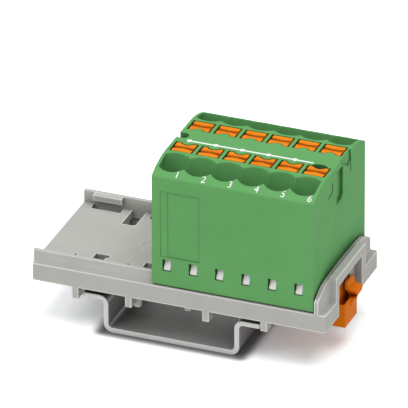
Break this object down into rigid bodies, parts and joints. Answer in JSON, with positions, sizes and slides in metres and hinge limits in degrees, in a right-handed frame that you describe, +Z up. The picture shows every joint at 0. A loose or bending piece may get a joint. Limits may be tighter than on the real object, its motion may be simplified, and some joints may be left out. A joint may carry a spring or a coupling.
{
  "type": "power distribution block",
  "caption": "Push-in power distribution block with rows of wire funnels and release buttons, snapped into a rail adapter with a pull latch, on a short length of top hat rail.",
  "frame": {"origin": "middle of the rail's flat underside, halfway along the rail", "axes": "+X across the rail towards the release latch, +Y along the rail away from the viewer of the picture, +Z up"},
  "size_m": [0.0594, 0.0276, 0.0375],
  "materials": {
    "galvanised_steel": "bright galvanised sheet",
    "grey_plastic": "light grey moulded plastic, fine texture",
    "green_plastic": "green moulded plastic, fine texture",
    "orange_plastic": "orange moulded plastic, satin",
    "tinned_copper": "tin plated copper strip",
    "spring_steel": "stainless spring strip"
  },
  "bodies": {
    "rail": {"rail_section": "galvanised_steel"},
    "adapter": {"rail_adapter": "grey_plastic", "latch_spring": "spring_steel", "block_housing": "green_plastic", "block_base": "green_plastic", "busbar": "tinned_copper", "clamp_spring_front_1": "spring_steel", "clamp_spring_front_2": "spring_steel", "clamp_spring_front_3": "spring_steel", "clamp_spring_front_4": "spring_steel", "clamp_spring_front_5": "spring_steel", "clamp_spring_front_6": "spring_steel", "clamp_spring_back_1": "spring_steel", "clamp_spring_back_2": "spring_steel", "clamp_spring_back_3": "spring_steel", "clamp_spring_back_4": "spring_steel", "clamp_spring_back_5": "spring_steel", "clamp_spring_back_6": "spring_steel"},
    "latch": {"release_latch": "orange_plastic"},
    "button_front_1": {"push_button_front_1": "orange_plastic"},
    "button_front_2": {"push_button_front_2": "orange_plastic"},
    "button_front_3": {"push_button_front_3": "orange_plastic"},
    "button_front_4": {"push_button_front_4": "orange_plastic"},
    "button_front_5": {"push_button_front_5": "orange_plastic"},
    "button_front_6": {"push_button_front_6": "orange_plastic"},
    "button_back_1": {"push_button_back_1": "orange_plastic"},
    "button_back_2": {"push_button_back_2": "orange_plastic"},
    "button_back_3": {"push_button_back_3": "orange_plastic"},
    "button_back_4": {"push_button_back_4": "orange_plastic"},
    "button_back_5": {"push_button_back_5": "orange_plastic"},
    "button_back_6": {"push_button_back_6": "orange_plastic"}
  },
  "joints": [
    {"name": "adapter_slide", "type": "slide", "parent": "rail", "child": "adapter", "axis": [0, 1, 0], "range_m": [-0.008, 0.008]},
    {"name": "latch_pull", "type": "slide", "parent": "adapter", "child": "latch", "axis": [1, 0, 0], "range_m": [0, 0.0022], "stiffness_N_per_m": 1500, "springref_m": -0.001, "deforming": ["latch_spring"]},
    {"name": "press_front_1", "type": "slide", "parent": "adapter", "child": "button_front_1", "axis": [0, 0, -1], "range_m": [0, 0.0012], "stiffness_N_per_m": 4000, "springref_m": -0.0003, "deforming": ["clamp_spring_front_1"]},
    {"name": "press_front_2", "type": "slide", "parent": "adapter", "child": "button_front_2", "axis": [0, 0, -1], "range_m": [0, 0.0012], "stiffness_N_per_m": 4000, "springref_m": -0.0003, "deforming": ["clamp_spring_front_2"]},
    {"name": "press_front_3", "type": "slide", "parent": "adapter", "child": "button_front_3", "axis": [0, 0, -1], "range_m": [0, 0.0012], "stiffness_N_per_m": 4000, "springref_m": -0.0003, "deforming": ["clamp_spring_front_3"]},
    {"name": "press_front_4", "type": "slide", "parent": "adapter", "child": "button_front_4", "axis": [0, 0, -1], "range_m": [0, 0.0012], "stiffness_N_per_m": 4000, "springref_m": -0.0003, "deforming": ["clamp_spring_front_4"]},
    {"name": "press_front_5", "type": "slide", "parent": "adapter", "child": "button_front_5", "axis": [0, 0, -1], "range_m": [0, 0.0012], "stiffness_N_per_m": 4000, "springref_m": -0.0003, "deforming": ["clamp_spring_front_5"]},
    {"name": "press_front_6", "type": "slide", "parent": "adapter", "child": "button_front_6", "axis": [0, 0, -1], "range_m": [0, 0.0012], "stiffness_N_per_m": 4000, "springref_m": -0.0003, "deforming": ["clamp_spring_front_6"]},
    {"name": "press_back_1", "type": "slide", "parent": "adapter", "child": "button_back_1", "axis": [0, 0, -1], "range_m": [0, 0.0012], "stiffness_N_per_m": 4000, "springref_m": -0.0003, "deforming": ["clamp_spring_back_1"]},
    {"name": "press_back_2", "type": "slide", "parent": "adapter", "child": "button_back_2", "axis": [0, 0, -1], "range_m": [0, 0.0012], "stiffness_N_per_m": 4000, "springref_m": -0.0003, "deforming": ["clamp_spring_back_2"]},
    {"name": "press_back_3", "type": "slide", "parent": "adapter", "child": "button_back_3", "axis": [0, 0, -1], "range_m": [0, 0.0012], "stiffness_N_per_m": 4000, "springref_m": -0.0003, "deforming": ["clamp_spring_back_3"]},
    {"name": "press_back_4", "type": "slide", "parent": "adapter", "child": "button_back_4", "axis": [0, 0, -1], "range_m": [0, 0.0012], "stiffness_N_per_m": 4000, "springref_m": -0.0003, "deforming": ["clamp_spring_back_4"]},
    {"name": "press_back_5", "type": "slide", "parent": "adapter", "child": "button_back_5", "axis": [0, 0, -1], "range_m": [0, 0.0012], "stiffness_N_per_m": 4000, "springref_m": -0.0003, "deforming": ["clamp_spring_back_5"]},
    {"name": "press_back_6", "type": "slide", "parent": "adapter", "child": "button_back_6", "axis": [0, 0, -1], "range_m": [0, 0.0012], "stiffness_N_per_m": 4000, "springref_m": -0.0003, "deforming": ["clamp_spring_back_6"]}
  ]
}
